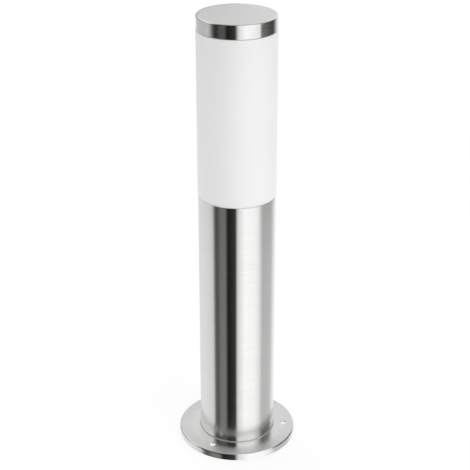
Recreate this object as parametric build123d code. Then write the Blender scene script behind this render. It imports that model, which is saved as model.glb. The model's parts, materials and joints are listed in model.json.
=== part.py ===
"""Garden bollard light: round steel post on a pressed foot, opal head with a steel cap, E27 lamp inside.

Millimetres, +Z up. The origin is the centre of the foot's underside, on the ground.
"""
import math
import os

from build123d import *

os.makedirs("parts", exist_ok=True)

# ---------------------------------------------------------------- driving dimensions
H_TOTAL = 450.0        # ground to the top of the cap
TUBE_R, TUBE_T = 38.0, 1.2
FOOT_R, FOOT_H, FOOT_T = 60.0, 7.5, 1.5
ANCHOR_R, ANCHOR_HOLE_R = 49.0, 3.0     # three holes for ground screws
COLLAR_FOOT_R = 38.8   # low pressed ridge that centres the post on the foot
TUBE_TOP = 271.4       # the post's upper rim
DIFF_RO, DIFF_RI = 38.4, 36.4
SHOULDER_Z = 435.9     # where the diffuser steps in under the cap
CAP_R, CAP_T, CAP_Z0 = 38.1, 0.8, 436.2
COLLAR_R, COLLAR_TOP = 36.1, 290.0      # spigot that the head drops over
FLOOR_Z0, FLOOR_Z1 = 258.5, 261.5       # floor of the lamp carrier
PITCH = 3.629          # E27 thread, 7 turns per inch
TIP_Z = 275.0          # where the lamp's tip meets the centre contact
LUG_R = 27.0           # circle of the foot screws
CARRIER_SCREW_R = 29.3
EARTH_Z = 252.4        # earth screw on the gear bracket
TUBE_RI = TUBE_R - TUBE_T


def rev(*pts):
    """Solid of revolution about Z from a closed (r, z[, corner radius]) outline."""
    n, edges, ends = len(pts), [], []
    for i, p in enumerate(pts):
        here = Vector(p[0], p[1])
        rad = p[2] if len(p) > 2 else 0
        if not rad:
            ends.append((here, here, None))
            continue
        a = (Vector(*pts[i - 1][:2]) - here).normalized()
        b = (Vector(*pts[(i + 1) % n][:2]) - here).normalized()
        half = math.radians(a.get_angle(b)) / 2
        t = rad / math.tan(half)
        mid = here + (a + b).normalized() * (rad / math.sin(half) - rad)
        ends.append((here + a * t, here + b * t, mid))
    for i, (s, e, mid) in enumerate(ends):
        if mid is not None:
            edges.append(ThreePointArc(s, mid, e))
        nxt = ends[(i + 1) % n][0]
        if (nxt - e).length > 1e-6:
            edges.append(Line(e, nxt))
    return revolve(Plane.XZ * make_face(edges), Axis.Z)


def cyl(r, z0, z1, x=0, y=0):
    return Pos(x, y, (z0 + z1) / 2) * Cylinder(r, z1 - z0)


def box(x0, x1, y0, y1, z0, z1):
    return Pos((x0 + x1) / 2, (y0 + y1) / 2, (z0 + z1) / 2) * Box(x1 - x0, y1 - y0, z1 - z0)


def ycyl(r, y0, y1, x, z):
    return Pos(x, (y0 + y1) / 2, z) * Rot(90, 0, 0) * Cylinder(r, y1 - y0)


def hexagon(af, z0, z1, x=0, y=0):
    return Pos(x, y, z0) * extrude(RegularPolygon(af / 2, 6, major_radius=False), z1 - z0)


def ring(ro, ri, z0, z1):
    return cyl(ro, z0, z1) - cyl(ri, z0 - 1, z1 + 1)


def sector(ro, ri, z0, z1, a0, a1):
    """Part of a ring between two angles, in degrees."""
    s = 3 * ro
    step = (a1 - a0) / 2
    pts = [(0, 0)] + [(s * math.cos(math.radians(a0 + step * k)), s * math.sin(math.radians(a0 + step * k))) for k in range(3)]
    wedge = Pos(0, 0, z0) * extrude(make_face(Polyline(*pts, close=True)), z1 - z0)
    return ring(ro, ri, z0, z1) & wedge


def polar(shape, angles):
    return [Rot(0, 0, a) * shape for a in angles]


def thread(r_root, r_crest, root_w, crest_w, z0, turns, phase=0.0):
    """Ridge of a right-hand thread: a trapezoid carried round a helix."""
    path = Pos(0, 0, z0) * Helix(PITCH, PITCH * turns, r_root)
    x0, x1 = r_root, r_crest        # the crest lies inward on a holder, outward on a lamp
    face = Plane.XZ * make_face(Polyline((x0, z0 - root_w / 2), (x1, z0 - crest_w / 2), (x1, z0 + crest_w / 2), (x0, z0 + root_w / 2), close=True))
    return Rot(0, 0, phase) * sweep(face, path=path, is_frenet=True)


def save(name, shapes):
    shapes = shapes if isinstance(shapes, (list, tuple)) else [shapes]
    solids = [s for shape in shapes for s in shape.solids()]
    export_step(Compound(children=solids) if len(solids) > 1 else solids[0], f"parts/{name}.step")


A3 = (0, 120, 240)
B3 = (60, 180, 300)
C3 = (30, 150, 270)

# ---------------------------------------------------------------- foot and post
foot = rev((10, FOOT_H - FOOT_T), (FOOT_R - FOOT_T, FOOT_H - FOOT_T, 0.7), (FOOT_R - FOOT_T, 0), (FOOT_R, 0, 0.4),
           (FOOT_R, FOOT_H, 2.0), (COLLAR_FOOT_R, FOOT_H), (COLLAR_FOOT_R, FOOT_H + 0.7, 0.3), (TUBE_R + 0.06, FOOT_H + 0.7),
           (TUBE_R + 0.06, FOOT_H), (10, FOOT_H))
for s in polar(cyl(ANCHOR_HOLE_R, 0, 20, ANCHOR_R), A3) + polar(cyl(2.75, 0, 20, LUG_R), B3):
    foot -= s
save("base_flange", foot)

save("cable_grommet", rev((4.5, 4.0), (12.6, 4.0, 0.8), (13, 6.0), (9.98, 6.0), (9.98, 7.5), (13, 7.5), (12.2, 9.8, 0.8), (4.5, 9.8, 1.0)))

save("post_tube", rev((TUBE_RI, FOOT_H), (TUBE_R, FOOT_H, 0.5), (TUBE_R, TUBE_TOP, 0.3), (TUBE_RI, TUBE_TOP)))

foot_lug = box(19, 34.6, -8, 8, 7.5, 10.5) + (ring(36.77, 34.3, 7.5, 28) & box(20, 40, -8, 8, 7.5, 28))
foot_lug -= cyl(2.5, 0, 20, LUG_R)
save("tube_foot_lugs", polar(foot_lug, B3))
screw = rev((0, 1.6), (4.6, 1.6, 1.0), (4.6, 5.0), (2.48, 5.0), (2.48, 13.2, 0.5), (0, 13.2))
screw -= box(-0.7, 0.7, -2.6, 2.6, 1.0, 2.9)
screw -= box(-2.6, 2.6, -0.7, 0.7, 1.0, 2.9)
save("flange_screws", polar(Pos(LUG_R, 0, 0) * screw, B3))
save("flange_washers", polar(Pos(LUG_R, 0, 0) * ring(4.9, 2.6, 5.0, 6.0), B3))

top_lug = box(25, 34.6, -7, 7, 256.0, 258.5) + (ring(36.77, 34.3, 238, 258.5) & box(20, 40, -7, 7, 238, 258.5))
top_lug -= cyl(2.0, 250, 262, CARRIER_SCREW_R)
save("tube_top_lugs", polar(top_lug, B3))

# ---------------------------------------------------------------- lamp carrier: plugs the post, carries holder and head
carrier = rev((5.2, FLOOR_Z0), (36.55, FLOOR_Z0, 0.8), (36.55, TUBE_TOP), (37.4, TUBE_TOP), (37.4, 272.6),
              (COLLAR_R, 272.6), (COLLAR_R, 275.2), (34.2, 275.2), (34.2, 277.8), (COLLAR_R, 277.8),
              (COLLAR_R, COLLAR_TOP, 0.8), (31.6, COLLAR_TOP, 0.5), (31.6, 273.5), (34.0, 271.0), (34.0, FLOOR_Z1), (5.2, FLOOR_Z1))
for s in polar(cyl(2.25, 250, 265, CARRIER_SCREW_R), B3):
    carrier -= s
entry = sector(40, 34.0, 280.6, 292, -9.5, 9.5)
lock = sector(40, 34.0, 280.6, 284.5, -35.0, 9.5)
for s in polar(entry + lock, A3):
    carrier -= s
carrier -= box(-12, -9, -2, 2, 250, 265)       # way through for the earth lead's tail and drain
save("lamp_carrier", carrier)
cscrew = rev((0, 251.5), (1.98, 251.5, 0.4), (1.98, FLOOR_Z1), (3.9, FLOOR_Z1), (3.9, 264.1, 1.1), (0, 264.1))
cscrew -= box(-0.6, 0.6, -2.2, 2.2, 263.0, 265)
cscrew -= box(-2.2, 2.2, -0.6, 0.6, 263.0, 265)
save("carrier_screws", polar(Pos(CARRIER_SCREW_R, 0, 0) * cscrew, B3))
save("head_seal", Pos(0, 0, 276.5) * Torus(35.30, 1.05))

# ---------------------------------------------------------------- gear bracket with terminals, under the carrier
bracket = box(-15, 15, -9, 12.5, 257.0, 258.5) + box(-15, 15, 11.0, 12.5, 196, 258.5)
bracket = fillet(bracket.edges().filter_by(Axis.X).filter_by(lambda e: abs(e.center().Y - 12.5) < 0.01 and abs(e.center().Z - 258.5) < 0.01), 1.2)
bracket -= cyl(5.2, 250, 262)
bracket -= ycyl(1.98, 5, 20, -9, EARTH_Z)
for x in (-10, 10):
    bracket -= ycyl(1.48, 5, 20, x, 204)
for x in (-5, 5):
    bracket -= ycyl(1.48, 5, 20, x, 232)
save("gear_bracket", bracket)

nipple = rev((3.9, 250.5), (4.98, 250.5, 0.4), (4.98, 266.5, 0.4), (3.9, 266.5))
save("holder_nipple", nipple)
save("nipple_washer", ring(8.0, 5.2, 256.0, 257.0))
save("nipple_locknut", hexagon(14, 252.6, 256.0) - cyl(5.0, 250, 260))

block = box(-15, 15, -4, 11.0, 222, 242)
for x in (-10, 0, 10):
    block -= box(x - 2.6, x + 2.6, -0.6, 4.6, 223.0, 241.0)
    block -= cyl(2.2, 215, 250, x, 2.0)
    for z in (227.5, 236.5):
        block -= ycyl(1.9, -6, 0, x, z)
for x in (-5, 5):
    block -= ycyl(1.7, -6, 12, x, 232)
    block -= ycyl(2.9, -6, -1.0, x, 232)
    block -= box(x - 0.5, x + 0.5, -5, -2.2, 220, 244)
save("terminal_block", block)
ins = []
for x in (-10, 0, 10):
    t = box(x - 2.5, x + 2.5, -0.5, 4.5, 223.1, 240.9) - cyl(1.6, 215, 250, x, 2.0)
    for z in (227.5, 236.5):
        t -= ycyl(1.25, -6, 2.0, x, z)
    ins.append(t)
save("terminal_inserts", ins)
ts = []
for x in (-10, 0, 10):
    for z in (227.5, 236.5):
        t = ycyl(1.2, -2.6, 0.9, x, z) + ycyl(1.75, -3.4, -0.7, x, z)
        ts.append(t - box(x - 1.6, x + 1.6, -4, -2.8, z - 0.3, z + 0.3))
save("terminal_clamp_screws", ts)
bs = []
for x in (-5, 5):
    t = ycyl(1.46, -1.0, 13.6, x, 232) + ycyl(2.7, -3.0, -1.0, x, 232)
    bs.append(t - box(x - 1.9, x + 1.9, -4, -2.2, 231.7, 232.3))
save("terminal_block_screws", bs)

clamp = box(-14.5, 14.5, -1.5, 11.0, 199, 209)
clamp -= Pos(0, 5.9, 204) * Cylinder(4.8, 20)
clamp -= box(-4.8, 4.8, 5.9, 12, 190, 215)
clamp -= box(-16, -6.3, -3, 3.5, 190, 215)
clamp -= box(6.3, 16, -3, 3.5, 190, 215)
for x in (-10, 10):
    clamp -= ycyl(1.6, -3, 12, x, 204)
save("cable_clamp", clamp)
cs = []
for x in (-10, 10):
    t = ycyl(1.46, 3.5, 13.6, x, 204) + ycyl(2.7, 1.5, 3.5, x, 204)
    cs.append(t - box(x - 1.9, x + 1.9, 1, 2.3, 203.7, 204.3))
save("cable_clamp_screws", cs)

eterm = ring(4.0, 2.1, 0, 0.8) + box(3.6, 9.0, -1.6, 1.6, 0, 0.8)
save("earth_ring_terminal", Pos(-9, 11.0, EARTH_Z) * Rot(90, 0, 0) * Rot(0, 0, -90) * eterm)
escrew = ycyl(1.96, 4.6, 14.6, -9, EARTH_Z) + ycyl(3.6, 7.6, 10.2, -9, EARTH_Z)
escrew = escrew - ycyl(3.7, 4.0, 7.6, -9, EARTH_Z) - box(-12, -6, 7.0, 8.6, EARTH_Z - 0.4, EARTH_Z + 0.4)
save("earth_screw", escrew)


def lead(r, pts, radii):
    path = FilletPolyline(*pts, radius=radii)
    start = Plane(origin=pts[0], z_dir=(Vector(*pts[1]) - Vector(*pts[0])))
    return sweep(start * Circle(r), path=path)


save("lead_live", lead(1.05, [(0, 2, 233.0), (0, 2, 244.4), (-1.5, 0, 248.6), (-1.5, 0, 267.6), (-8.0, 0, 267.6)], [3.0, 3.0, 1.3]))
save("lead_neutral", lead(1.05, [(10, 2, 233.0), (10, 2, 245.0), (1.5, 0, 249.2), (1.5, 0, 267.6), (8.0, 0, 267.6)], [4.0, 4.0, 1.3]))
save("lead_earth", lead(1.05, [(-10, 2, 233.0), (-10, 2, 243.8), (-9, 9.13, 244.9), (-9, 9.13, 248.4)], [2.2, 2.2]))

# ---------------------------------------------------------------- E27 lampholder
lcap = rev((5.0, FLOOR_Z1), (13.5, FLOOR_Z1, 1.0), (19.6, 267.6, 3.0), (19.6, 276.0), (17.5, 276.0), (17.5, 269.6), (14.6, 269.6), (11.4, 265.4), (5.0, 265.4))
save("lampholder_cap", lcap)
insert = ring(17.3, 3.0, 269.6, 272.6)
insert -= box(-11, -6, -3, 3, 269, 274)
insert -= box(6, 11, -3, 3, 269, 274)
insert -= cyl(1.5, 269, 274, 0, 11.0)
save("lampholder_insert", insert)
terms = []
for s in (-1, 1):
    t = box(min(s * 6.2, s * 10.8), max(s * 6.2, s * 10.8), -2.8, 2.8, 266.2, 272.4)
    t -= Pos(s * 8.5, 0, 267.6) * Rot(0, 90, 0) * Cylinder(1.1, 8)
    terms.append(t)
save("lampholder_terminals", terms)
sleeve = rev((14.2, 276.0), (20.4, 276.0, 0.5), (20.4, 282.0), (19.2, 284.0), (19.2, 300.0, 1.0), (14.9, 300.0, 0.4), (14.9, 298.5), (14.2, 298.5))
save("lampholder_sleeve", sleeve)

shell = ring(14.15, 13.45, 276.2, 298.4)
save("lampholder_thread_shell", shell + thread(13.6, 12.45, 2.6, 1.45, 279.0 + PITCH / 2, 4.5))

foot_c = box(-3, 3, 8.0, 13.5, 272.6, 273.2) - cyl(1.5, 270, 276, 0, 11.0)
save("centre_contact_foot", foot_c)
save("centre_contact_rivet", cyl(1.45, 269.6, 273.2, 0, 11.0) + cyl(2.2, 273.2, 274.0, 0, 11.0))
leaf = make_face(Polyline((7.95, 272.66), (7.95, 273.2), (1.5, 275.0), (-4.0, 275.0), (-4.6, 274.4), (1.3, 274.4), (6.0, 273.08), (7.2, 272.76), close=True))
leaf = Pos(-2.5, 0, 0) * extrude(Plane.YZ * leaf, 5.0)
save("centre_contact_leaf", leaf)

# ---------------------------------------------------------------- E27 lamp
save("lamp_contact_tip", rev((0, TIP_Z), (3.2, TIP_Z, 0.6), (4.8, 276.0, 0.3), (4.8, 276.6), (0, 276.6)))
save("lamp_insulator", rev((0, 276.6), (5.6, 276.6, 0.4), (11.0, 279.6), (0, 279.6)))
cap_core = rev((11.5, 281.0), (10.9, 279.6), (11.4, 279.6), (12.1, 281.0), (12.1, 299.5), (13.0, 300.6), (13.0, 303.0), (12.5, 303.0), (12.5, 300.8), (11.5, 299.8))
ridge = thread(12.0, 13.1, 1.75, 0.75, 282.629, 4.0)
save("lamp_cap_shell", cap_core + ridge)
body = rev((10.2, 285.0), (11.4, 285.0), (11.4, 299.9), (12.4, 300.9), (12.4, 303.05), (14.6, 303.05, 0.6), (17.5, 315.0, 12.0), (27.6, 336.0, 10.0), (29.6, 346.0), (29.6, 348.0),
           (27.9, 348.0), (27.9, 345.0), (26.0, 345.0), (26.0, 337.5), (15.8, 316.5), (13.0, 305.0), (10.2, 301.0))
save("lamp_body", body)
save("lamp_driver_board", box(-0.8, 0.8, -8.5, 8.5, 287, 322) + cyl(4.6, 301, 318, 5.2, 0) + box(-5.5, -0.8, -5, 3, 305, 313))
plate = cyl(27.7, 345.0, 346.6)
save("lamp_led_plate", plate)
save("lamp_leds", polar(Pos(19, 0, 347.0) * Box(3.2, 3.2, 0.8), range(0, 360, 30)) + [Pos(0, 0, 347.0) * Box(3.2, 3.2, 0.8)])
globe = Pos(0, 0, 354.0) * Sphere(30.0) - Pos(0, 0, 354.0) * Sphere(28.6)
globe &= cyl(40, 348.0, 400)
save("lamp_globe", globe)

# ---------------------------------------------------------------- head: opal diffuser under a steel cap
diff = rev((DIFF_RI, 272.6), (37.6, 272.6), (37.6, 271.8), (DIFF_RO, 271.8, 0.3), (DIFF_RO, SHOULDER_Z, 0.2), (37.1, SHOULDER_Z), (37.1, 448.0, 0.6),
           (2.3, 448.0), (2.3, 446.0), (35.0, 446.0, 1.5), (35.0, 436.4), (DIFF_RI, 433.4))
for s in polar(sector(DIFF_RI + 0.4, 34.4, 281.0, 284.0, -8.0, 8.0), A3):
    diff += s
save("diffuser", diff)
save("top_cap", rev((0, H_TOTAL - CAP_T), (CAP_R - CAP_T, H_TOTAL - CAP_T, 0.4), (CAP_R - CAP_T, CAP_Z0), (CAP_R, CAP_Z0, 0.2), (CAP_R, H_TOTAL, 1.0), (0, H_TOTAL)))
save("cap_gasket", ring(36.0, 30.0, 448.0, 449.2))
save("cap_stud", rev((0, 437.5), (2.0, 437.5, 0.4), (2.0, 448.6), (2.7, 448.6), (2.7, 449.2), (0, 449.2)))
save("cap_washer", ring(6.0, 2.15, 445.0, 446.0))
nut = hexagon(7, 440.6, 445.0) & rev((0, 440.0), (2.9, 440.0), (4.1, 441.6), (4.1, 445.0), (0, 445.0))
save("cap_nut", nut - cyl(2.02, 430, 450))
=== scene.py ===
import json
import math

import bmesh
import bpy
import numpy as np
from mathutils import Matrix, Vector


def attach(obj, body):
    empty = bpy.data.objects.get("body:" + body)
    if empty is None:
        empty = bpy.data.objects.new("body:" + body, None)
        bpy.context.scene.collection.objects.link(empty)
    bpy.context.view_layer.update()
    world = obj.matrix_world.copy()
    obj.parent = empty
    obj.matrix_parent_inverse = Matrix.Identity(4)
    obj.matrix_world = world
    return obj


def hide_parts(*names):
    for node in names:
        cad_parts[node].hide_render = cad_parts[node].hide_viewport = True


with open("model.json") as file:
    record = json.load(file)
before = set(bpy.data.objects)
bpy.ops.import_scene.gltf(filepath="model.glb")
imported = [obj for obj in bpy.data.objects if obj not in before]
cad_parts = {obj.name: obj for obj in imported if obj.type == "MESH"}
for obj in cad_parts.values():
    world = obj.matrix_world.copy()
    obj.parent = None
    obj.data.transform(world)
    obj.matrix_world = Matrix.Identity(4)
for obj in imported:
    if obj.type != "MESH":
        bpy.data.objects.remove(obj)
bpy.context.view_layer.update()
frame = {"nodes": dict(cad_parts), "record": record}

MM = 0.001
scene = bpy.context.scene
coll = scene.collection


# ------------------------------------------------------------------ mesh helpers
def rounded(points, steps=7):
    """(r, z[, corner radius]) outline in mm, each corner radius turned into a run of points."""
    n, out = len(points), []
    for i, p in enumerate(points):
        here = np.array(p[:2], float)
        if len(p) < 3 or not p[2]:
            out.append(tuple(here))
            continue
        a = np.array(points[i - 1][:2], float) - here
        b = np.array(points[(i + 1) % n][:2], float) - here
        a, b = a / np.linalg.norm(a), b / np.linalg.norm(b)
        half = math.acos(max(-1, min(1, float(a @ b)))) / 2
        t = p[2] / math.tan(half)
        centre = here + (a + b) / np.linalg.norm(a + b) * (p[2] / math.sin(half))
        s, e = here + a * t, here + b * t
        a0 = math.atan2(*(s - centre)[::-1])
        a1 = math.atan2(*(e - centre)[::-1])
        d = (a1 - a0 + math.pi) % (2 * math.pi) - math.pi
        rad = np.linalg.norm(s - centre)
        for k in range(steps + 1):
            w = a0 + d * k / steps
            out.append((centre[0] + rad * math.cos(w), centre[1] + rad * math.sin(w)))
    return out


def finish_mesh(name, verts, faces, sharp=35.0, weighted=True):
    me = bpy.data.meshes.new(name)
    me.from_pydata(verts, [], faces)
    bm = bmesh.new()
    bm.from_mesh(me)
    bmesh.ops.remove_doubles(bm, verts=bm.verts, dist=1e-7)
    bmesh.ops.recalc_face_normals(bm, faces=bm.faces)
    bm.to_mesh(me)
    bm.free()
    me.shade_smooth()
    me.set_sharp_from_angle(angle=math.radians(sharp))
    ob = bpy.data.objects.new(name, me)
    coll.objects.link(ob)
    if weighted:
        m = ob.modifiers.new("normals", "WEIGHTED_NORMAL")
        m.keep_sharp = True
        m.weight = 80
    return ob


def spun_data(outline, angles):
    """Closed surface of revolution. outline is a list of (r, z) in mm, or a function of the angle in degrees that
    gives one, always of the same length. Outlines that start and end on the axis are closed there."""
    prof = outline if callable(outline) else (lambda a: outline)
    verts, faces, m = [], [], len(prof(angles[0]))
    for a in angles:
        c, s = math.cos(math.radians(a)), math.sin(math.radians(a))
        verts += [(r * c * MM, r * s * MM, z * MM) for r, z in prof(a)]
    n = len(angles)
    on_axis = prof(angles[0])[0][0] < 1e-6
    last = m - 1 if on_axis else m
    for i in range(n):
        j = (i + 1) % n
        for k in range(last):
            q = (k + 1) % m
            faces.append((i * m + k, j * m + k, j * m + q, i * m + q))
    return verts, faces


def clean_poles(verts, faces):
    """Faces with doubled points on the axis become triangles."""
    key, remap, out = {}, {}, []
    for i, v in enumerate(verts):
        k = (round(v[0], 8), round(v[1], 8), round(v[2], 8))
        remap[i] = key.setdefault(k, i)
    for f in faces:
        g = []
        for i in f:
            if remap[i] not in g:
                g.append(remap[i])
        if len(g) > 2:
            out.append(tuple(g))
    used = sorted({i for f in out for i in f})
    at = {i: k for k, i in enumerate(used)}
    return [verts[i] for i in used], [tuple(at[i] for i in f) for f in out]


def ring_angles(n, extra=()):
    a = [360.0 * i / n for i in range(n)]
    for e in extra:
        a = [x for x in a if abs((x - e + 180) % 360 - 180) > 0.04] + [e % 360]
    return sorted(set(round(x, 5) for x in a))


def spun(name, outline, n=256, extra=(), sharp=35.0, weighted=True):
    v, f = clean_poles(*spun_data(outline, ring_angles(n, extra)))
    return finish_mesh(name, v, f, sharp, weighted)


def cut(ob, cutters, sharp=35.0):
    """Real holes: an exact boolean difference, applied."""
    mods = [m for m in ob.modifiers]
    for m in mods:
        ob.modifiers.remove(m)
    for c in cutters:
        m = ob.modifiers.new("cut", "BOOLEAN")
        m.operation, m.solver, m.object = "DIFFERENCE", "EXACT", c
    dg = bpy.context.evaluated_depsgraph_get()
    me = bpy.data.meshes.new_from_object(ob.evaluated_get(dg))
    ob.modifiers.clear()
    ob.data = me
    for c in cutters:
        bpy.data.objects.remove(c)
    bm = bmesh.new()
    bm.from_mesh(me)
    bmesh.ops.remove_doubles(bm, verts=bm.verts, dist=2e-6)
    bmesh.ops.dissolve_degenerate(bm, edges=bm.edges, dist=2e-6)
    flat = [e for e in bm.edges if len(e.link_faces) == 2 and e.calc_face_angle(1.0) < 1e-5]
    bmesh.ops.dissolve_edges(bm, edges=flat, use_verts=False, use_face_split=False)
    bmesh.ops.triangulate(bm, faces=[f for f in bm.faces if len(f.verts) > 4], quad_method="BEAUTY", ngon_method="BEAUTY")
    bm.to_mesh(me)
    bm.free()
    me.shade_smooth()
    me.set_sharp_from_angle(angle=math.radians(sharp))
    m = ob.modifiers.new("normals", "WEIGHTED_NORMAL")
    m.keep_sharp, m.weight = True, 80
    return ob


def hole_cutter(r, z0, z1, chamfer, x, y, n=64):
    """Round cutter that also takes the sharp edge off both mouths of the hole."""
    out = [(0, z0 - 3), (r + chamfer + 3, z0 - 3), (r + chamfer, z0), (r, z0 + chamfer), (r, z1 - chamfer),
           (r + chamfer, z1), (r + chamfer + 3, z1 + 3), (0, z1 + 3)]
    v, f = clean_poles(*spun_data(out, ring_angles(n)))
    ob = finish_mesh("cutter", [(p[0] + x * MM, p[1] + y * MM, p[2]) for p in v], f, weighted=False)
    return ob


def place(ob, body, nodes, material):
    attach(ob, body)
    if nodes:
        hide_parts(*nodes)
    ob.data.materials.clear()
    ob.data.materials.append(material)
    return ob


# ------------------------------------------------------------------ material helpers
class Mat:
    """A small wrapper that keeps node building short."""

    def __init__(self, name):
        self.m = bpy.data.materials.new(name)
        self.m.use_nodes = True
        self.t = self.m.node_tree
        self.t.nodes.clear()
        self.out = self.n("ShaderNodeOutputMaterial")
        self.b = self.n("ShaderNodeBsdfPrincipled")
        self.link(self.b, 0, self.out, 0)
        self.co = self.n("ShaderNodeTexCoord").outputs["Object"]

    def n(self, kind, **props):
        node = self.t.nodes.new(kind)
        for k, v in props.items():
            setattr(node, k, v)
        return node

    def link(self, a, i, b, j):
        self.t.links.new(a.outputs[i], b.inputs[j])

    def put(self, value, socket):
        if isinstance(value, (int, float)):
            socket.default_value = value
        elif isinstance(value, (tuple, list)):
            socket.default_value = tuple(value) + ((1.0,) if len(value) == 3 and len(socket.default_value) == 4 else ())
        else:
            self.t.links.new(value, socket)

    def math(self, op, a, b=0.0, c=0.0, clamp=False):
        node = self.n("ShaderNodeMath", operation=op, use_clamp=clamp)
        for s, v in zip(node.inputs, (a, b, c)):
            self.put(v, s)
        return node.outputs[0]

    def noise(self, vector, scale, detail=3.0, rough=0.5, w=None, distortion=0.0):
        node = self.n("ShaderNodeTexNoise", noise_dimensions="4D" if w is not None else "3D")
        self.put(vector, node.inputs["Vector"])
        if w is not None:
            self.put(w, node.inputs["W"])
        node.inputs["Scale"].default_value = scale
        node.inputs["Detail"].default_value = detail
        node.inputs["Roughness"].default_value = rough
        node.inputs["Distortion"].default_value = distortion
        return node.outputs[0]

    def map(self, v, lo, hi, a, b):
        node = self.n("ShaderNodeMapRange")
        for s, x in zip(node.inputs, (v, lo, hi, a, b)):
            self.put(x, s)
        return node.outputs[0]

    def mix(self, f, a, b):
        node = self.n("ShaderNodeMix", data_type="RGBA")
        self.put(f, node.inputs[0])
        self.put(a, node.inputs[6])
        self.put(b, node.inputs[7])
        return node.outputs[2]

    def xyz(self, v=None):
        node = self.n("ShaderNodeSeparateXYZ")
        self.put(v or self.co, node.inputs[0])
        return node.outputs

    def join(self, x, y, z):
        node = self.n("ShaderNodeCombineXYZ")
        for s, v in zip(node.inputs, (x, y, z)):
            self.put(v, s)
        return node.outputs[0]

    def bump(self, height, strength, distance, base=None):
        node = self.n("ShaderNodeBump")
        node.inputs["Strength"].default_value = strength
        node.inputs["Distance"].default_value = distance
        self.put(height, node.inputs["Height"])
        if base is not None:
            self.put(base, node.inputs["Normal"])
        return node.outputs[0]

    def set(self, **values):
        for k, v in values.items():
            self.put(v, self.b.inputs[k.replace("_", " ")])
        return self.m


def tint(c, f):
    return tuple(max(0.0, min(1.0, x * f)) for x in c)


def turned_steel(name, base, rough, aniso, streak=0.08, fine=0.16, coarse=0.9, bump=0.32, face=None, rings=None):
    """Steel polished in the lathe: marks run round the post, so reflections smear up and down and stay crisp sideways.
    face = (height, roughness) gives a level face above that height its own even, satin finish. rings is a list of
    (radius, roughness, anisotropy) in metres, for a plate whose finish changes from its middle to its rim."""
    m = Mat(name)
    x, y, z = m.xyz()
    r = m.math("MAXIMUM", m.math("SQRT", m.math("ADD", m.math("MULTIPLY", x, x), m.math("MULTIPLY", y, y))), 1e-4)
    cx, cy = m.math("DIVIDE", x, r), m.math("DIVIDE", y, r)
    marks = []
    for size, along in ((fine, 2.2), (coarse, 1.1)):
        k = 1000.0 / size
        v = m.join(m.math("MULTIPLY", cx, along), m.math("MULTIPLY", cy, along), m.math("MULTIPLY", z, k))
        marks.append(m.noise(v, 1.0, 2.0, 0.6, w=m.math("MULTIPLY", r, k)))
    both = m.math("ADD", m.math("MULTIPLY", marks[0], 0.6), m.math("MULTIPLY", marks[1], 0.4))
    cloud = m.noise(m.co, 28.0, 3.0, 0.55)
    shade = m.math("ADD", m.map(both, 0.3, 0.7, -streak, streak), m.map(cloud, 0.3, 0.7, -0.012, 0.012))
    colour = m.mix(m.map(shade, -0.08, 0.08, 0.0, 1.0), tint(base, 0.93), tint(base, 1.07))
    tangent = m.n("ShaderNodeTangent", direction_type="RADIAL", axis="Z")
    finish = rough
    if face:
        level = m.map(z, face[0] - 0.0002, face[0], 0.0, 1.0)
        aniso = m.map(level, 0.0, 1.0, aniso, 0.0)
        finish = m.map(level, 0.0, 1.0, rough, face[1])
    metal = 1.0
    if rings:
        finish, aniso = rings[0][1], rings[0][2]
        metal = m.math("SUBTRACT", 1.0, m.math("MULTIPLY", m.map(r, 0.045, 0.053, 0.0, 0.32), m.map(r, 0.0592, 0.0598, 1.0, 0.0)))
        for inner, outer in zip(rings, rings[1:]):
            near = m.map(r, inner[0], outer[0], 0.0, 1.0)
            finish = m.math("ADD", finish, m.math("MULTIPLY", near, outer[1] - inner[1]))
            aniso = m.math("ADD", aniso, m.math("MULTIPLY", near, outer[2] - inner[2]))
    m.set(Base_Color=colour, Metallic=metal, Anisotropic=aniso, Anisotropic_Rotation=0.25, Tangent=tangent.outputs[0],
          Roughness=m.math("MULTIPLY", m.map(both, 0.25, 0.75, 0.86, 1.14), finish),
          Normal=m.bump(both, bump, 0.00002))
    return m.m


def plain_metal(name, base, rough, size=0.4, vary=0.05, spot=None, metallic=1.0, bump=0.25):
    """Pressed, plated or cast metal: fine grain, slow clouds of tone and, when given, stains of another tone."""
    m = Mat(name)
    grain = m.noise(m.co, 1000.0 / size, 4.0, 0.6)
    cloud = m.noise(m.co, 90.0, 3.0, 0.5)
    colour = m.mix(m.map(cloud, 0.3, 0.7, 0, 1), tint(base, 1 - vary), tint(base, 1 + vary))
    if spot:
        stain = m.noise(m.co, 240.0, 5.0, 0.65)
        colour = m.mix(m.map(stain, 0.55, 0.72, 0, 0.6), colour, spot)
    m.set(Base_Color=colour, Metallic=metallic, Roughness=m.map(grain, 0.3, 0.7, rough * 0.8, rough * 1.25),
          Normal=m.bump(grain, bump, 0.00003))
    return m.m


def zinc(name):
    """Bright zinc plating, with its faint crystal pattern and blue cast."""
    m = Mat(name)
    vor = m.n("ShaderNodeTexVoronoi", feature="F1")
    m.put(m.co, vor.inputs["Vector"])
    vor.inputs["Scale"].default_value = 900.0
    grain = m.noise(m.co, 3500.0, 3.0, 0.6)
    hue = m.noise(m.co, 160.0, 2.0, 0.5)
    colour = m.mix(m.map(hue, 0.35, 0.65, 0, 1), (0.60, 0.63, 0.68), (0.70, 0.69, 0.64))
    colour = m.mix(m.map(vor.outputs["Color"], 0.2, 0.8, 0, 0.35), colour, (0.52, 0.54, 0.57))
    m.set(Base_Color=colour, Metallic=1.0, Roughness=m.map(grain, 0.3, 0.7, 0.22, 0.36), Normal=m.bump(grain, 0.3, 0.00002))
    return m.m


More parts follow.
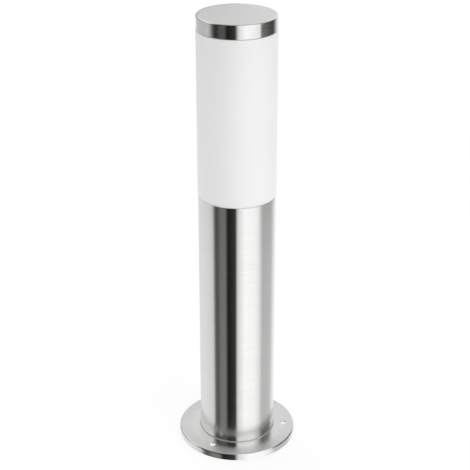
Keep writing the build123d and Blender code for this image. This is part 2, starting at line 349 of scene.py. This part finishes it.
def moulded(name, base, rough, grain=0.35, bump=0.3, vary=0.03, coat=0.0, subsurface=0.0, spec=0.5, flecks=None):
    """Moulded plastic, rubber or glaze: spark-eroded grain, slow tone changes from the flow, a little sheen."""
    m = Mat(name)
    fine = m.noise(m.co, 1000.0 / grain, 4.0, 0.6)
    flow = m.noise(m.co, 60.0, 3.0, 0.5, distortion=0.8)
    colour = m.mix(m.map(flow, 0.3, 0.7, 0, 1), tint(base, 1 - vary), tint(base, 1 + vary))
    if flecks:
        dots = m.noise(m.co, 1400.0, 2.0, 0.5)
        colour = m.mix(m.map(dots, 0.68, 0.76, 0, 0.5), colour, flecks)
    m.set(Base_Color=colour, Roughness=m.map(fine, 0.3, 0.7, max(0.02, rough * 0.88), min(1, rough * 1.12)),
          Normal=m.bump(fine, bump, 0.00003), Coat_Weight=coat, Coat_Roughness=0.12, Specular_IOR_Level=spec)
    if subsurface:
        m.set(Subsurface_Weight=subsurface, Subsurface_Radius=(1.0, 0.95, 0.9), Subsurface_Scale=0.004)
    return m.m


def opal(name, base, rough, scale_mm=6.0, head=None):
    """Opal acrylic: milky through its thickness, satin outside, with the faintest drawing marks. head = (from, to,
    factor) darkens the colour toward the capped top end: painted shade for the light the top of the shade gets less of."""
    m = Mat(name)
    x, y, z = m.xyz()
    fine = m.noise(m.co, 2600.0, 3.0, 0.6)
    milk = m.noise(m.join(m.math("MULTIPLY", x, 40.0), m.math("MULTIPLY", y, 40.0), m.math("MULTIPLY", z, 14.0)), 1.0, 3.0, 0.5)
    colour = m.mix(m.map(milk, 0.3, 0.7, 0, 1), tint(base, 0.988), tint(base, 1.006))
    # painted shade: the colour grows darker toward the capped top, between the two given heights
    if head:
        colour = m.mix(m.map(z, head[0], head[1], 0.0, 1.0), colour, tint(base, head[2]))
    m.set(Base_Color=colour, Roughness=m.map(fine, 0.3, 0.7, rough * 0.92, rough * 1.08), Subsurface_Weight=0.35,
          Subsurface_Radius=(1.0, 0.97, 0.93), Subsurface_Scale=scale_mm * MM, Specular_IOR_Level=0.42,
          Normal=m.bump(fine, 0.10, 0.00002))
    return m.m


def board(name):
    """Circuit board: green mask over a grid of tracks, dark component bodies away from its middle line."""
    m = Mat(name)
    brick = m.n("ShaderNodeTexBrick", offset=0.5)
    x, y, z = m.xyz()
    m.put(m.join(m.math("ADD", y, x), z, x), brick.inputs["Vector"])
    brick.inputs["Scale"].default_value = 420.0
    brick.inputs["Mortar Size"].default_value = 0.06
    brick.inputs["Color1"].default_value = (0.015, 0.11, 0.045, 1)
    brick.inputs["Color2"].default_value = (0.02, 0.15, 0.06, 1)
    brick.inputs["Mortar"].default_value = (0.06, 0.24, 0.10, 1)
    part = m.map(m.math("ABSOLUTE", x), 0.00085, 0.0010, 0.0, 1.0)
    body = m.mix(m.noise(m.co, 220.0, 2.0), (0.03, 0.03, 0.035), (0.10, 0.09, 0.02))
    grain = m.noise(m.co, 3000.0, 2.0)
    m.set(Base_Color=m.mix(part, brick.outputs[0], body), Roughness=m.map(grain, 0.3, 0.7, 0.3, 0.5), Normal=m.bump(grain, 0.3, 0.00003))
    return m.m


def led(name):
    m = Mat(name)
    x, y, z = m.xyz()
    grain = m.noise(m.co, 1800.0, 3.0)
    top = m.math("GREATER_THAN", z, 0.34735)
    m.set(Base_Color=m.mix(top, (0.85, 0.85, 0.83), m.mix(grain, (0.85, 0.62, 0.10), (0.95, 0.76, 0.22))),
          Roughness=m.map(grain, 0.3, 0.7, 0.3, 0.5), Normal=m.bump(grain, 0.2, 0.00003))
    return m.m


def wire(name, base, stripe=None):
    m = Mat(name)
    fine = m.noise(m.co, 2400.0, 3.0, 0.6)
    flow = m.noise(m.co, 130.0, 2.0)
    colour = m.mix(m.map(flow, 0.3, 0.7, 0, 1), tint(base, 0.92), tint(base, 1.08))
    if stripe:
        x, y, z = m.xyz()
        s = m.math("SINE", m.math("MULTIPLY", m.math("ADD", m.math("SUBTRACT", x, y), m.math("MULTIPLY", z, 0.35)), 3000.0))
        colour = m.mix(m.map(s, -0.12, 0.12, 0, 1), colour, stripe)
    m.set(Base_Color=colour, Roughness=m.map(fine, 0.3, 0.7, 0.36, 0.5), Normal=m.bump(fine, 0.2, 0.00003))
    return m.m


STEEL = (0.700, 0.700, 0.694)
mats = {
    "steel_brushed": turned_steel("steel_brushed", STEEL, 0.155, 0.95),
    "steel_foot": turned_steel("steel_foot", tint(STEEL, 1.04), 0.30, 0.45, streak=0.03, fine=0.3, coarse=1.4, bump=0.3,
                               rings=[(0.0387, 0.60, 0.0), (0.0391, 0.14, 0.93), (0.045, 0.18, 0.80), (0.052, 0.38, 0.20), (0.0590, 0.42, 0.10),
                                      (0.0598, 0.16, 0.94)]),
    "steel_cap": turned_steel("steel_cap", STEEL, 0.155, 0.95, face=(0.44995, 0.24)),
    "steel_plain": plain_metal("steel_plain", (0.58, 0.575, 0.56), 0.30, 0.35, 0.06),
    "zinc_steel": zinc("zinc_steel"),
    "tinned": plain_metal("tinned", (0.72, 0.71, 0.68), 0.28, 0.3, 0.06),
    "nickel": plain_metal("nickel", (0.66, 0.63, 0.57), 0.16, 0.3, 0.04),
    "brass": plain_metal("brass", (0.72, 0.50, 0.20), 0.26, 0.3, 0.08, spot=(0.42, 0.27, 0.12)),
    "aluminium": plain_metal("aluminium", (0.74, 0.74, 0.75), 0.38, 0.25, 0.04),
    "white_plastic": moulded("white_plastic", (0.80, 0.80, 0.775), 0.42, 0.30, 0.35, 0.02, subsurface=0.08),
    "black_plastic": moulded("black_plastic", (0.022, 0.022, 0.023), 0.38, 0.30, 0.45, 0.12),
    "ceramic_white": moulded("ceramic_white", (0.78, 0.75, 0.69), 0.22, 0.5, 0.15, 0.03, coat=0.6, flecks=(0.45, 0.40, 0.34)),
    "black_rubber": moulded("black_rubber", (0.018, 0.018, 0.018), 0.62, 0.22, 0.5, 0.12, spec=0.35),
    # head here paints shade on the diffuser: darker toward its capped top from 0.36 m up
    "opal_acrylic": opal("opal_acrylic", (0.925, 0.925, 0.92), 0.42, head=(0.36, 0.436, 0.955)),
    "opal_globe": opal("opal_globe", (0.93, 0.93, 0.915), 0.34, 3.0),
    "lamp_white": moulded("lamp_white", (0.86, 0.86, 0.845), 0.26, 0.5, 0.12, 0.012, coat=0.25, subsurface=0.05),
    "black_glass": moulded("black_glass", (0.012, 0.012, 0.016), 0.09, 0.8, 0.08, 0.15, coat=0.8),
    "board_green": board("board_green"),
    "led_yellow": led("led_yellow"),
    "wire_brown": wire("wire_brown", (0.17, 0.065, 0.025)),
    "wire_blue": wire("wire_blue", (0.03, 0.10, 0.42)),
    "wire_green": wire("wire_green", (0.05, 0.30, 0.05), stripe=(0.78, 0.62, 0.04)),
}

slot_of = {s["node"]: s["material_slot"] for s in frame["record"]["subparts"]}
for node, ob in frame["nodes"].items():
    ob.data.materials.clear()
    ob.data.materials.append(mats[slot_of[node]])

# ------------------------------------------------------------------ the shown steel and opal shells
TUBE_R, CAP_R, DIFF_R = 38.0, 38.1, 38.4
A3, B3 = (0, 120, 240), (60, 180, 300)

cap = spun("cap_shell", rounded([(0, 449.2), (37.3, 449.2, 0.45), (37.3, 436.2, 0.2), (CAP_R, 436.2, 0.3), (CAP_R, 449.87, 1.4),
                               (35.0, 450.0, 8.0), (0, 450.0)], 8), 288)
place(cap, "head", ["top_cap"], mats["steel_cap"])


def diffuser_outline(a):
    near = min(abs((a - c + 180) % 360 - 180) for c in A3)
    ri = 34.4 if near <= 8.0 else 36.4
    return rounded([(36.4, 272.6), (37.6, 272.6, 0.1), (37.6, 271.8, 0.1), (DIFF_R, 271.8, 0.3), (DIFF_R, 435.9, 0.3), (37.1, 435.9, 0.2),
                    (37.1, 448.0, 0.6), (2.3, 448.0), (2.3, 446.0), (35.0, 446.0, 1.5), (35.0, 436.4, 0.6), (36.4, 433.4, 1.0),
                    (36.4, 284.35), (ri, 284.0), (ri, 281.0), (36.4, 280.65)], 6)


lug_edges = [c + s * e for c in A3 for s in (-1, 1) for e in (8.0, 8.25)]
diffuser = spun("diffuser_shell", diffuser_outline, 288, lug_edges)
place(diffuser, "head", ["diffuser"], mats["opal_acrylic"])

tube = spun("post_shell", rounded([(TUBE_R - 1.2, 7.5, 0.2), (TUBE_R, 7.5, 0.45), (TUBE_R, 271.4, 0.3), (TUBE_R - 1.2, 271.4, 0.25)], 6), 288)
place(tube, "post", ["post_tube"], mats["steel_brushed"])

foot = spun("foot_shell", rounded([(10, 6.0, 0.15), (58.5, 6.0, 0.7), (58.5, 0.0, 0.15), (60.0, 0.0, 0.4), (60.0, 7.5, 2.0), (38.8, 7.5), (38.8, 8.2, 0.55), (38.02, 8.2, 0.05), (38.02, 7.5),
                                   (10, 7.5, 0.15)], 9), 320)
cutters = [hole_cutter(3.0, 6.0, 7.5, 0.22, 49.0 * math.cos(math.radians(a)), 49.0 * math.sin(math.radians(a))) for a in A3]
cutters += [hole_cutter(2.75, 6.0, 7.5, 0.15, 27.0 * math.cos(math.radians(a)), 27.0 * math.sin(math.radians(a))) for a in B3]
cut(foot, cutters)
place(foot, "post", ["base_flange"], mats["steel_foot"])

seal = spun("seal_ring", [(35.30 + 1.05 * math.cos(t), 276.5 + 1.05 * math.sin(t)) for t in [2 * math.pi * k / 32 for k in range(32)]], 220, weighted=False)
place(seal, "post", ["head_seal"], mats["black_rubber"])

# ------------------------------------------------------------------ the lamp and its holder, seen when the head is off
globe = spun("lamp_globe_shell", [(30.0 * math.cos(math.radians(e)), 354.0 + 30.0 * math.sin(math.radians(e))) for e in np.linspace(-11.4, 90, 60)]
             + [(28.6 * math.cos(math.radians(e)), 354.0 + 28.6 * math.sin(math.radians(e))) for e in np.linspace(90, -11.95, 50)], 160, weighted=False)
place(globe, "lamp", ["lamp_globe"], mats["opal_globe"])

neck = rounded([(10.2, 285.0), (11.4, 285.0), (11.4, 299.9), (12.4, 300.9), (12.4, 303.05), (14.6, 303.05, 0.6), (17.5, 315.0, 12.0), (27.6, 336.0, 10.0),
                (29.6, 346.0), (29.6, 347.9, 0.25), (27.9, 348.0), (27.9, 345.0), (26.0, 345.0), (26.0, 337.5), (15.8, 316.5), (13.0, 305.0), (10.2, 301.0)], 10)
lamp_neck = spun("lamp_neck", neck, 160)
place(lamp_neck, "lamp", ["lamp_body"], mats["lamp_white"])


def sleeve_outline(a):
    """Grip ribs round the upper part of the holder's sleeve."""
    dip = 0.45 * (0.5 - 0.5 * math.cos(math.radians(a * 36))) ** 0.6
    return rounded([(14.2, 276.0), (20.4, 276.0, 0.5), (20.4, 282.0, 0.4), (19.2 - dip * 0.1, 284.2), (19.2 - dip, 285.2), (19.2 - dip, 298.4), (19.0 - dip * 0.2, 299.4),
                    (18.4, 300.0, 0.3), (14.9, 300.0, 0.4), (14.9, 298.5), (14.2, 298.5)], 5)


sleeve = spun("holder_sleeve", sleeve_outline, 432)
place(sleeve, "post", ["lampholder_sleeve"], mats["black_plastic"])


# ------------------------------------------------------------------ studio: pale floor, soft panels, camera
def ramp(tree, stops, source, warm=1.0):
    node = tree.nodes.new("ShaderNodeValToRGB")
    cr = node.color_ramp
    cr.interpolation = "LINEAR"
    while len(cr.elements) > 1:
        cr.elements.remove(cr.elements[-1])
    for k, (deg, v) in enumerate(stops):
        e = cr.elements[0] if k == 0 else cr.elements.new((deg + 180) / 360)
        e.position = (deg + 180) / 360
        dim = warm * max(0.0, 1 - v / 0.45)
        v = v / PEAK
        e.color = (v, v * (1 - 0.02 * dim), v * (1 - 0.15 * dim), 1)
    tree.links.new(source, node.inputs[0])
    return node.outputs[0]


# Brightness of the studio round the object, by bearing from the camera (degrees, + to the camera's right).
LOW = [(-180, 0.85), (-120, 1.0), (-78, 0.9), (-70, 0.15), (-62, 0.1), (-50, 0.25), (-36, 0.25), (-28, 0.01), (-4, 0.05), (2, 0.9), (24, 1.35), (56, 1.3),
       (76, 1.0), (84, 0.7), (120, 0.7), (150, 1.1), (180, 0.85)]
MID = [(-180, 1.0), (-145, 0.7), (-88, 0.65), (-72, 0.05), (-60, 0.01), (-48, 0.08), (-36, 0.08), (-28, 0.01), (-4, 0.05), (6, 1.0), (24, 1.3), (66, 1.1),
       (72, 0.1), (110, 0.01), (124, 0.05), (142, 0.8), (160, 1.0), (180, 1.0)]
HIGH = [(-180, 0.85), (-140, 1.1), (-84, 1.15), (-72, 0.1), (-34, 0.15), (-28, 0.03), (-5, 0.03), (4, 1.3), (50, 1.5), (74, 0.8), (86, 0.2), (126, 0.3),
        (146, 1.1), (160, 1.1), (180, 0.85)]
SOFT = [(-180, 1.1), (-145, 1.5), (-120, 1.2), (-90, 0.4), (-70, 0.25), (-45, 0.6), (0, 0.9), (35, 1.5), (60, 1.4), (90, 0.6), (105, 0.4), (135, 0.9), (180, 1.1)]
HEADING = 1.2
PEAK = 1.6

world = bpy.data.worlds.new("studio")
scene.world = world
world.use_nodes = True
wt = world.node_tree
wt.nodes.clear()


def wn(kind, **props):
    node = wt.nodes.new(kind)
    for k, v in props.items():
        setattr(node, k, v)
    return node


def wmath(op, a, b=0.0, clamp=False):
    node = wn("ShaderNodeMath", operation=op, use_clamp=clamp)
    for s, v in zip(node.inputs, (a, b)):
        if isinstance(v, (int, float)):
            s.default_value = v
        else:
            wt.links.new(v, s)
    return node.outputs[0]


def wmix(f, a, b):
    node = wn("ShaderNodeMix", data_type="RGBA")
    for s, v in ((node.inputs[0], f), (node.inputs[6], a), (node.inputs[7], b)):
        if isinstance(v, (int, float)):
            s.default_value = v
        elif isinstance(v, tuple):
            s.default_value = v
        else:
            wt.links.new(v, s)
    return node.outputs[2]


def wstep(v, lo, hi):
    node = wn("ShaderNodeMapRange", interpolation_type="SMOOTHSTEP")
    wt.links.new(v, node.inputs[0])
    node.inputs[1].default_value, node.inputs[2].default_value = lo, hi
    return node.outputs[0]


tc = wn("ShaderNodeTexCoord")
rot = wn("ShaderNodeVectorRotate", rotation_type="Z_AXIS")
rot.inputs["Angle"].default_value = math.radians(-HEADING)
wt.links.new(tc.outputs["Generated"], rot.inputs["Vector"])
sep = wn("ShaderNodeSeparateXYZ")
wt.links.new(rot.outputs[0], sep.inputs[0])
bearing = wmath("ADD", wmath("DIVIDE", wmath("ARCTAN2", sep.outputs[0], wmath("MULTIPLY", sep.outputs[1], -1.0)), 2 * math.pi), 0.5)
lowc, midc, highc = (ramp(wt, s, bearing) for s in (LOW, MID, HIGH))
softc = ramp(wt, SOFT, bearing, 0.0)
up = sep.outputs[2]
sharp = wmix(wstep(up, -0.385, -0.325), lowc, midc)
strip = wmath("MULTIPLY", wstep(up, -0.22, -0.10), wstep(bearing, 0.28, 0.20))
sharp = wmix(strip, sharp, (0.06 / PEAK, 0.06 / PEAK, 0.06 / PEAK, 1))
sharp = wmix(wstep(up, 0.12, 0.24), sharp, highc)
sharp = wmix(wstep(up, 0.75, 0.95), sharp, (0.34 / PEAK, 0.34 / PEAK, 0.34 / PEAK, 1))
light_path = wn("ShaderNodeLightPath")
soft = wmix(light_path.outputs["Is Glossy Ray"], softc, sharp)
back = wmix(light_path.outputs["Is Camera Ray"], soft, (1.04 / PEAK, 1.04 / PEAK, 1.04 / PEAK, 1))
bg = wn("ShaderNodeBackground")
bg.inputs["Strength"].default_value = PEAK
wt.links.new(back, bg.inputs["Color"])
wo = wn("ShaderNodeOutputWorld")
wt.links.new(bg.outputs[0], wo.inputs[0])
world.cycles.sampling_method = "NONE"

bm = bmesh.new()
bmesh.ops.create_circle(bm, cap_ends=True, segments=96, radius=9.0)
me = bpy.data.meshes.new("floor")
bm.to_mesh(me)
bm.free()
floor = bpy.data.objects.new("floor", me)
coll.objects.link(floor)
floor.location.z = -0.0004
fm = Mat("floor_pale")
speck = fm.noise(fm.co, 6.0, 3.0)
fm.set(Base_Color=fm.mix(speck, (0.225, 0.225, 0.225), (0.235, 0.235, 0.235)), Roughness=0.9, Specular_IOR_Level=0.0,
       Emission_Color=(1.0, 1.0, 1.0), Emission_Strength=0.80)
floor.data.materials.append(fm.m)
floor.visible_glossy = False

cam_data = bpy.data.cameras.new("camera")
cam = bpy.data.objects.new("camera", cam_data)
coll.objects.link(cam)
a = math.radians(HEADING)
cam.location = (1.1488 * math.sin(a), -1.1488 * math.cos(a), 0.7631)
cam.rotation_mode = "XYZ"
cam.rotation_euler = (math.pi / 2 - 0.4371, 0.0, a)
cam_data.sensor_fit = "HORIZONTAL"
cam_data.sensor_width = 36.0
cam_data.lens = 98.12
cam_data.shift_x = -0.00424
cam_data.clip_start, cam_data.clip_end = 0.05, 60.0
scene.camera = cam
scene.view_settings.view_transform = "Standard"
scene.view_settings.look = "None"
scene.view_settings.exposure = 0.0
scene.view_settings.gamma = 1.0

bpy.context.view_layer.update()
